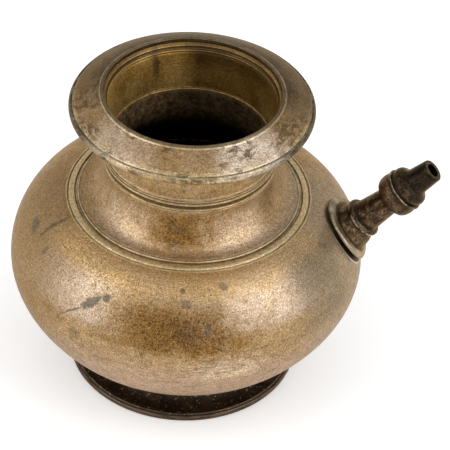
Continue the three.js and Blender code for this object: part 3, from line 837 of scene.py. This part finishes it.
    # the wide turned grooves at the shoulder and the neck hold brown dirt
    shoulder_groove = p.times(p.band(p.radius, 49.25, 0.48, 0.22), p.band(p.z, 90.1, 0.9, 0.3))
    neck_groove = p.times(p.band(p.z, 110.95, 0.45, 0.25), p.step(p.radius, 37.4, 37.2))
    neck_lines = p.times(p.most(p.band(p.z, 114.3, 0.2, 0.15), p.band(p.z, 113.2, 0.1, 0.15)), 0.85)
    groove = p.most(shoulder_groove, neck_groove, neck_lines)
    p.lay(GROOVE_DIRT, groove, outside, p.step(mottle, 0.3, 0.65, 0.95, 0.75))
    lip_flat = p.times(p.band(p.radius, 38.35, 0.5, 0.15), p.step(p.z, 144.6, 144.8))
    p.lay(LIP_BROWN, lip_flat, 0.85)
    # a painted highlight along the ridge at the front of the rim, later laid with the worn edges
    ridge_highlight = p.times(p.band(p.radius, 39.45, 0.35, 0.2), on_rim, p.step(side, 1.6, 0.6, 0.0, 0.75),
                    p.step(mottle, 0.6, 0.4, 0.45, 1.0))

    # inside: a golden wall above the throat, painted darker on its right as shade, darkest near the top
    # there, with a painted shadow under the lip; below the throat brown crust, painted lighter on the left as
    # light and darker downwards into black as shade
    golden = p.mix(p.step(cloud, 0.36, 0.62), GOLD_DEEP, GOLD_LIGHT)
    golden = p.over(golden, GOLD_MOTTLE, p.step(mottle, 0.5, 0.66), 0.5)
    golden = p.over(golden, GOLD_RING, p.step(lathe, 0.54, 0.7), 0.45)
    # painted shade: the right of the wall is darker, most near the top
    right = p.times(p.step(p.x, -10.0, 0.0), p.step(p.x, 24.0, 34.0, 1.0, 0.65))
    golden = p.over(golden, GOLD_SHADE, right, 0.8)
    golden = p.scaled(golden, p.plus(1.0, p.times(right, p.step(p.z, 127.0, 138.0, 0.35, -0.5))))
    golden = p.scaled(golden, p.step(p.noise(1.2, 5.0, 0.78, 0.7), 0.36, 0.62, 1.25, 0.75))
    golden = p.over(golden, LEDGE_BROWN, p.band(p.z, 142.35, 0.35, 0.25), p.step(p.x, 30.0, 16.0, 0.1, 0.9))
    drip = p.band(p.plus(p.turn, p.times(mottle, 0.18)), -2.47, 0.015, 0.05)
    golden = p.over(golden, DRIP, drip, p.step(p.z, 127.0, 131.5), 0.7)
    # painted shadow under the lip
    under_lip_shadow = p.plus(p.step(p.z, 142.7, 143.1), p.band(p.z, 141.1, 0.62, 0.12), clamp=True)
    golden = p.over(golden, UNDER_LIP_SHADOW, under_lip_shadow, 0.93)
    p.lay(golden, p.step(tone, 0.1, 0.45))
    brown = p.mix(p.step(p.noise(0.35, 6.0, 0.75), 0.38, 0.68), CRUST_DARK, CRUST_LIGHT)
    brown = p.over(brown, CRUST_FLECK, p.step(speckle, 0.63, 0.68), 0.9)
    # painted light: the crust is lighter towards the left
    brown = p.scaled(brown, p.step(p.x, 0.0, -26.0, 0.9, 2.2))
    # painted shade: darker downwards into black
    crust_and_deep_shade = p.mix(p.step(p.z, 114.0, 100.0), brown, DEEP_INSIDE_SHADE)
    p.lay(crust_and_deep_shade, p.step(tone, 0.55, 0.95))

    # brightness follows the grain of the metal
    p.shade(p.step(grain, 0.28, 0.62, 1.22, 0.68))
    p.shade(p.step(fine, 0.34, 0.64, 1.38, 0.6))
    p.shade(p.step(lathe, 0.25, 0.75, 1.1, 0.9))

    off_seam = p.step(p.math("ABSOLUTE", p.minus(p.z, BELLY_HEIGHT)), 0.8, 1.8)
    grime = p.times(grime, off_seam)
    unworn = p.plus(roll, p.plus(lip_flat, p.band(p.z, 141.1, 0.7, 0.1)), clamp=True)
    wear = p.times(wear, off_seam, p.minus(1.0, p.times(unworn, 0.85)))
    shoulder_lines = p.times(p.band(p.z, 90.4, 0.9, 0.3), p.band(p.radius, 51.0, 3.0, 0.3))
    wear = p.math("MULTIPLY", wear, p.plus(1.0, shoulder_lines), clamp=True)
    # the worn edges also carry the painted ridge highlight
    wear = p.most(wear, ridge_highlight)
    dirty = p.times(grime, p.step(mottle, 0.3, 0.62, 1.0, 0.55))
    p.lay(GRIME, dirty, 0.85)
    green_zone = p.plus(p.times(p.band(p.z, 137.0, 1.2, 0.8), p.step(p.radius, 49.5, 50.8)),
                        p.times(p.band(p.z, 89.8, 1.0, 0.6), 0.4), clamp=True)
    greened = p.step(p.noise(0.22, 5.0, 0.7), 0.47, 0.6)
    p.lay(VERDIGRIS, p.step(grime, 0.04, 0.4), greened, green_zone, outside, 0.75)
    worn = p.times(wear, p.step(mottle, 0.34, 0.64, 1.0, 0.35), p.step(grain, 0.3, 0.6, 1.0, 0.7))
    p.lay(p.mix(p.step(tone, 0.1, 0.4), WORN_EDGE_AND_GLINT, WORN_GOLD), worn, 0.95)

    rough = p.plus(0.33, p.times(cloud, 0.16))
    rougher = ((p.step(mottle, 0.45, 0.68), 0.08), (patina_and_shade_patch, 0.08), (p.plus(dirty, pitted), 0.2), (stain, 0.12))
    for share, amount in rougher:
        rough = p.plus(rough, p.times(share, amount))
    relief = p.plus(p.times(mottle, 0.5), p.times(lathe, 0.4))
    for share, amount in ((grain, 0.35), (pitted, 0.4), (scratch, 0.4)):
        relief = p.minus(relief, p.times(share, amount))
    return p.finish(rough, relief, 0.00014)


def foot_bronze():
    p = Paint("black_bronze", metallic=0.85, coat=0.2, edge=(0.9, 0.72, 0.52))
    wear, grime = p.mark("wear"), p.mark("grime")
    cloud = p.noise(0.12, 5.0, 0.62, 0.5)
    speck = p.noise(0.8, 6.0, 0.75)
    lathe = p.ring_noise(9.0, 1.6, 4.0, 0.65)
    p.color = p.mix(p.step(cloud, 0.4, 0.68), FOOT_BLACK, FOOT_BROWN)
    p.lay(FOOT_SPECK, p.step(speck, 0.56, 0.64), 0.6)
    p.lay(FOOT_GREY, p.step(speck, 0.585, 0.65), 0.85)
    p.shade(p.step(p.noise(2.2, 4.0, 0.75), 0.34, 0.64, 1.4, 0.6))
    edge = p.times(p.step(p.radius, 50.2, 51.0), p.step(p.z, 4.0, 3.0))
    p.lay(FOOT_EDGE, edge, p.step(lathe, 0.3, 0.6), 0.85)
    # painted reflection of the belly: the top of the foot's flare is lighter brown
    p.lay(FOOT_NECK_REFLECTION, p.step(p.z, 7.0, 9.5), p.step(cloud, 0.3, 0.6, 0.3, 0.8))
    p.lay(FOOT_GRIME, grime)
    p.lay(FOOT_WORN, wear, p.step(lathe, 0.35, 0.6), 0.6)
    rough = p.plus(0.2, p.times(speck, 0.3))
    relief = p.plus(p.times(speck, 0.9), p.times(lathe, 0.4))
    return p.finish(rough, relief, 0.00025)


def spout_bronze():
    p = Paint("dark_bronze", metallic=0.88, coat=0.06, edge=(0.9, 0.74, 0.55))
    wear, grime, tone = p.mark("wear"), p.mark("grime"), p.mark("tone")
    drawn_along = p.combine(p.times(p.along, 0.1), p.times(p.y, 0.75), p.times(p.across, 0.75))
    drawn_round = p.combine(p.times(p.along, 2.4), p.times(p.y, 0.12), p.times(p.across, 0.12))
    streak = p.noise(1.0, 4.0, 0.6, 0.3, drawn_along)
    rings = p.noise(1.0, 4.0, 0.65, 0.0, drawn_round)
    cloud = p.noise(0.19, 6.0, 0.68, 0.5)
    speck = p.noise(1.1, 6.0, 0.76)
    p.color = p.mix(p.step(cloud, 0.4, 0.62), SPOUT_BLACK, SPOUT_BROWN)
    p.lay(SPOUT_STREAK, p.step(streak, 0.52, 0.66), 0.5)
    p.lay(SPOUT_RING, p.step(rings, 0.55, 0.68), 0.4)
    p.lay(SPOUT_SPECK, p.step(speck, 0.57, 0.66), 0.7)
    p.lay(SPOUT_PIT, p.step(speck, 0.44, 0.34), 0.6)
    tip = p.step(p.along, nozzle_start - 1.0, nozzle_root + 1.0, 1.0, 0.22)
    base = p.step(p.along, socket_start + 1.0, roll_start, 1.55, 1.0)
    p.shade(p.times(tip, base))
    p.shade(p.step(p.noise(1.35, 5.0, 0.8), 0.36, 0.62, 1.9, 0.35))
    tan = p.mix(p.step(cloud, 0.38, 0.62), FLANGE_BROWN, FLANGE_TAN)
    tan = p.over(tan, FLANGE_SPECK, p.step(speck, 0.54, 0.64), 0.65)
    p.lay(tan, p.band(tone, 0.5, 0.12, 0.2))
    p.lay(SPOUT_GRIME, grime, 0.95)
    worn = p.times(p.step(wear, 0.3, 0.8), p.step(cloud, 0.4, 0.6, 0.1, 0.85),
                   p.step(speck, 0.35, 0.55, 0.2, 1.0),
                   p.step(p.along, nozzle_start, nozzle_root, 1.0, 0.35))
    # painted highlight: a pale line along the front of the socket's roll, laid with the worn edges
    roll_highlight = p.times(p.band(p.along, roll_start + 0.75, 0.45, 0.3),
                        p.step(p.spout_distance, 8.0, 8.5), p.step(p.noise(0.5, 5.0, 0.7), 0.4, 0.56),
                        p.step(p.y, 3.0, -4.0))
    p.lay(SPOUT_WORN_AND_GLINT, p.most(worn, roll_highlight))
    p.lay(BORE_BLACK, p.step(tone, 0.75, 0.95))
    rough = p.plus(0.18, p.times(speck, 0.28))
    relief = p.plus(p.times(rings, 0.5), p.times(speck, 0.8))
    return p.finish(rough, relief, 0.00016)


def braze_metal():
    p = Paint("old_braze", metallic=0.6)
    cloud = p.noise(0.4, 5.0, 0.65)
    speck = p.noise(2.2, 4.0, 0.7)
    p.color = p.mix(p.step(cloud, 0.35, 0.65), BRAZE_DARK, BRAZE_LIGHT)
    p.lay(BRAZE_SPECK, p.step(speck, 0.55, 0.7), 0.5)
    rough = p.plus(0.5, p.times(speck, 0.3))
    return p.finish(rough, p.plus(cloud, speck), 0.0002)


BODY = body_bronze()
FOOT = foot_bronze()
SPOUT = spout_bronze()
BRAZE = braze_metal()


def dress(piece, material, slot, *nodes):
    piece.data.materials.clear()
    piece.data.materials.append(material)
    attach(piece, "root")
    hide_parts(*nodes)


# Body pieces

def body_piece(name, outline, **settings):
    return turned(name, outline, BODY_PLACE, AROUND_BODY, **settings)


foot = body_piece("foot_turned", foot_outline, radius=0.35, fine=0.8, coarse=2.0, spread=0.45)
dress(foot, FOOT, "foot_bronze", "foot_ring")

lower_bowl = body_piece("lower_bowl_turned", lower_outline, radius=0.15, fine=1.6, coarse=4.0)
dress(lower_bowl, BODY, "body_bronze", "lower_bowl")

FILLED_SEAMS = (
    ("belly_seam_closed", seam_outline, "body_bronze", "belly_braze_ring"),
    ("neck_seam_filled", neck_seam_outline, "braze", "neck_braze_ring"),
    ("shoulder_seam_filled", groove_outline, "braze", "shoulder_braze_ring"),
)
for seam_name, outline, slot, node in FILLED_SEAMS:
    dress(body_piece(seam_name, outline, radius=0.02, fine=1.0, coarse=1.0), BODY, slot, node)

upper_bowl = body_piece("upper_bowl_turned", upper_outline, radius=0.22, fine=1.2, coarse=4.0, spread=0.38)
hole_end = spigot_end - 4
hole_outline = toned(1, (0, hole_end), (HOLE_RADIUS, hole_end), (HOLE_RADIUS, roll_start), (0, roll_start))
cut(upper_bowl, turned("spigot_hole", hole_outline, SPOUT_PLACE, 48, radius=0.01, fine=40, coarse=40))
dress(upper_bowl, BODY, "body_bronze", "upper_bowl")

neck = body_piece("neck_turned", neck_outline, radius=0.22, fine=0.9, coarse=3.0, spread=0.38)
dress(neck, BODY, "body_bronze", "neck")

rim = body_piece("rim_turned", rim_outline, radius=0.26, fine=0.7, coarse=2.0, spread=0.42)
dress(rim, BODY, "body_bronze", "rim_collar")

# Spout pieces

flange_top = FLANGE_STANDOFF + FLANGE_THICKNESS
# heights below zero are distances over the bowl's surface, others are stations along the spout
base_outline = (
    toned(1, (PASSAGE_RADIUS, spigot_end), (SPIGOT_RADIUS, spigot_end))
    + toned(0.5, (SPIGOT_RADIUS, -FLANGE_STANDOFF), (FLANGE_RADIUS - 0.5, -FLANGE_STANDOFF),
            (FLANGE_RADIUS - 0.08, -FLANGE_STANDOFF - 0.35), (FLANGE_RADIUS, -FLANGE_STANDOFF - 0.7),
            (FLANGE_RADIUS - 0.15, -flange_top + 0.25), (FLANGE_RADIUS - 0.6, -flange_top),
            (12.9, -flange_top - 0.02), (12.4, -flange_top + 0.1))
    + toned(0, (SOCKET_RADIUS + 0.3, -flange_top + 0.1), (SOCKET_RADIUS + 0.05, -flange_top - 0.3),
            (SOCKET_RADIUS, -flange_top - 0.9), (SOCKET_RADIUS - 0.1, socket_start + 0.4),
            (9.45, socket_start + 1.3), (8.8, socket_start + 2.3), (8.3, socket_start + 3.1),
            (8.1, roll_start + 0.1), (8.75, roll_start + 0.45), (9.0, roll_start + 1.1),
            (8.95, roll_start + 1.8), (8.5, roll_start + 2.4), (7.8, socket_end))
    + toned(1, (TUBE_SPIGOT + FIT_GAP, socket_end), (TUBE_SPIGOT + FIT_GAP, socket_end - SOCKET_DEPTH),
            (PASSAGE_RADIUS, socket_end - SOCKET_DEPTH))
)

RING_SAMPLES = 28
FLANGE_STEPS = {"fine": 0.7, "coarse": 1.5}


def ring_place():
    """Turns the outline's distances over the bowl into stations, ring by ring."""
    cache = {}

    def height(radius, value, turn):
        if value > 0:
            return value
        key = (round(radius, 3), round(value, 3))
        if key not in cache:
            turns = (2 * math.pi * k / RING_SAMPLES for k in range(RING_SAMPLES))
            cache[key] = [over_pot(radius, around, -value) for around in turns]
        ring = cache[key]
        place = turn / (2 * math.pi) * len(ring)
        k = int(place) % len(ring)
        a, b, c, d = (ring[(k + n) % len(ring)] for n in (-1, 0, 1, 2))
        t = place - int(place)
        return b + 0.5 * t * (c - a + t * (2 * a - 5 * b + 4 * c - d + t * (3 * (b - c) + d - a)))

    return height


def saddle_turned(name, outline, place, around):
    """The spout's base: the flange rings bend over the bowl, the rest is turned."""
    height = ring_place()
    spans, current = [], [outline[0]]
    for point in outline[1:]:
        if (point[1] < 0) != (current[-1][1] < 0):
            spans.append(current)
            current = []
        current.append(point)
    spans.append(current)
    parts = []
    for span in spans:
        parts += divided(rounded(span, 0.18, False), False, **FLANGE_STEPS)

    def placed(r, z, tone, turn):
        # the socket widens down to the flange, so its lowest rings widen with their depth
        station = height(r, z, turn)
        share = max(0.0, 1.0 - 2.0 * tone)
        if z > 0 or share == 0:
            return r, station
        wide = r + share * SOCKET_TAPER * (socket_start - station)
        return wide, over_pot(wide, turn, -z)

    real = [(r, z if z > 0 else over_pot(r, 0.5 * math.pi, -z), tone) for r, z, tone in parts]
    return ring_mesh(name, parts, edge_marks(real, True, spread=0.42), place, around, placed)


spout_base = saddle_turned("spout_base_turned", base_outline, SPOUT_PLACE, AROUND_SPOUT)
dress(spout_base, SPOUT, "spout_bronze", "spout_base")

tube_outline = (
    toned(1, (PASSAGE_RADIUS, tube_spigot_start), (TUBE_SPIGOT, tube_spigot_start),
          (TUBE_SPIGOT, tube_start))
    + toned(0, (6.8, tube_start), (7.0, tube_start + 0.35), (6.75, tube_start + 3), (6.3, tube_start + 8),
            (5.95, tube_end - 1.2), (6.3, tube_end - 0.2), (7.6, tube_end + 0.35), (8.9, tube_end + 1.3),
            (9.55, tube_end + 2.7), (9.75, tube_end + 4.3), (9.7, tube_end + 5.6), (9.35, tube_end + 6.7),
            (9.15, tube_end + 7.2), (9.3, tube_end + 7.6), (9.75, tube_end + 8.0), (9.85, tube_end + 8.4),
            (9.6, knop_end))
    + toned(1, (NOZZLE_SPIGOT + FIT_GAP, knop_end), (NOZZLE_SPIGOT + FIT_GAP, knop_end - KNOP_DEPTH),
            (PASSAGE_RADIUS, knop_end - KNOP_DEPTH))
)
spout_tube = turned("spout_tube_turned", tube_outline, SPOUT_PLACE, AROUND_SPOUT,
                    radius=0.2, fine=0.6, coarse=1.5, spread=0.4)
dress(spout_tube, SPOUT, "spout_bronze", "spout_tube")

nozzle_outline = (
    toned(1, (NOZZLE_BORE, nozzle_spigot_start), (NOZZLE_SPIGOT, nozzle_spigot_start),
          (NOZZLE_SPIGOT, nozzle_start))
    + toned(0, (8.75, nozzle_start), (9.1, nozzle_start + 0.5), (9.15, nozzle_start + 1.5),
            (8.85, nozzle_start + 2.6), (8.2, nozzle_start + 3.3), (7.3, nozzle_root + 0.2),
            (6.5, nozzle_root + 0.9), (6.0, nozzle_root + 1.7), (5.8, nozzle_root + 2.6),
            (5.45, nozzle_tip - 4.4), (5.1, nozzle_tip - 0.35), (4.9, nozzle_tip))
    + toned(0, (4.4, nozzle_tip), (NOZZLE_BORE + 0.15, nozzle_tip))
    + toned(1, (NOZZLE_BORE, nozzle_tip - 0.2))
)
spout_nozzle = turned("spout_nozzle_turned", nozzle_outline, SPOUT_PLACE, AROUND_SPOUT,
                      radius=0.15, fine=0.5, coarse=1.5, spread=0.35)
dress(spout_nozzle, SPOUT, "spout_bronze", "spout_nozzle")

# The braze rings that stay in view are the solid model's own
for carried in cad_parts.values():
    if not carried.hide_render:
        carried.data.materials.clear()
        carried.data.materials.append(BRAZE)

# Floor, light and camera

FLOOR = 4.0
FLOOR_SHADE = 0.93
FLOOR_LIFT = 0.2
floor_mesh = bpy.data.meshes.new("floor")
floor_corners = [(-FLOOR, -FLOOR, 0), (FLOOR, -FLOOR, 0), (FLOOR, FLOOR, 0), (-FLOOR, FLOOR, 0)]
floor_mesh.from_pydata(floor_corners, [], [(0, 1, 2, 3)])
floor = add_object("floor", floor_mesh)
floor_paint = bpy.data.materials.new("white_floor")
floor_paint.use_nodes = True
floor_tree = floor_paint.node_tree
floor_shader = floor_tree.nodes["Principled BSDF"]
fill(floor_shader, {"Base Color": (FLOOR_SHADE, FLOOR_SHADE, FLOOR_SHADE, 1), "Emission Color": (1, 1, 1, 1)})
fill(floor_shader, {"Roughness": 0.9, "Specular IOR Level": 0.1})
# The floor shows white to the camera and in reflections, and still takes the pot's shadow.
ray = floor_tree.nodes.new("ShaderNodeLightPath")
seen = ray.outputs["Is Camera Ray"]
for kind in ("Is Glossy Ray", "Is Transmission Ray"):
    total = floor_tree.nodes.new("ShaderNodeMath")
    total.operation = "ADD"
    floor_tree.links.new(seen, total.inputs[0])
    floor_tree.links.new(ray.outputs[kind], total.inputs[1])
    seen = total.outputs[0]
glow = floor_tree.nodes.new("ShaderNodeMath")
glow.operation = "MULTIPLY"
glow.inputs[1].default_value = FLOOR_LIFT
floor_tree.links.new(seen, glow.inputs[0])
floor_tree.links.new(glow.outputs[0], floor_shader.inputs["Emission Strength"])
floor_mesh.materials.append(floor_paint)

# White near the floor and light grey above
LOW_SKY, HIGH_SKY = (0.98, 0.98, 0.98, 1), (0.76, 0.76, 0.77, 1)
SKY_START, SKY_END = 0.1, 0.5
world = bpy.data.worlds.new("studio")
bpy.context.scene.world = world
world.use_nodes = True
sky = world.node_tree
background = sky.nodes["Background"]
direction = sky.nodes.new("ShaderNodeTexCoord")
split = sky.nodes.new("ShaderNodeSeparateXYZ")
rise = sky.nodes.new("ShaderNodeMapRange")
rise.interpolation_type = "SMOOTHSTEP"
shade = sky.nodes.new("ShaderNodeMix")
shade.data_type = "RGBA"
sky.links.new(direction.outputs["Generated"], split.inputs[0])
sky.links.new(split.outputs[2], rise.inputs[0])
fill(rise, {1: SKY_START, 2: SKY_END})
sky.links.new(rise.outputs[0], shade.inputs[0])
fill(shade, {6: LOW_SKY, 7: HIGH_SKY})
sky.links.new(shade.outputs[2], background.inputs["Color"])


LAMP_COLOR = (0.96, 0.99, 1.0)
LAMP_AIM = Vector((POT_AXIS_X * MM, 0, 0.08))


def seen_from(turn, rise):
    """Direction to a place at an angle from the front and above the floor, in degrees."""
    a, e = math.radians(turn), math.radians(rise)
    return Vector((math.cos(e) * math.sin(a), -math.cos(e) * math.cos(a), math.sin(e)))


def softbox(name, turn, rise, distance, width, height, watts):
    """A soft light that faces the pot."""
    lamp = bpy.data.lights.new(name, "AREA")
    lamp.shape = "RECTANGLE"
    lamp.size = width
    lamp.size_y = height
    lamp.energy = watts
    lamp.color = LAMP_COLOR
    holder = add_object(name, lamp)
    toward = seen_from(turn, rise)
    holder.location = LAMP_AIM + toward * distance
    holder.rotation_euler = toward.to_track_quat("Z", "Y").to_euler()


softbox("softbox_left", -58, 34, 0.95, 0.58, 0.95, 3.6)
softbox("softbox_right", 64, 36, 0.95, 0.56, 0.95, 3.9)

CAMERA_TURN, CAMERA_RISE, CAMERA_ROLL = 4.0, 39.92, math.radians(3.19)
CAMERA_TARGET = Vector((1.58, 1.16, 72.04)) * MM
CAMERA_DISTANCE = 1.0
camera_data = bpy.data.cameras.new("camera")
camera_data.sensor_width = 36.0
camera_data.lens = 181.06
camera = add_object("camera", camera_data)
bpy.context.scene.camera = camera
back = seen_from(CAMERA_TURN, CAMERA_RISE)
level = seen_from(CAMERA_TURN + 90, 0)
upward = back.cross(level)
right = math.cos(CAMERA_ROLL) * level + math.sin(CAMERA_ROLL) * upward
top = -math.sin(CAMERA_ROLL) * level + math.cos(CAMERA_ROLL) * upward
turned_frame = Matrix((right, top, back)).transposed().to_4x4()
camera.matrix_world = Matrix.Translation(CAMERA_TARGET + back * CAMERA_DISTANCE) @ turned_frame

bpy.context.scene.view_settings.view_transform = "Standard"

bpy.context.view_layer.update()
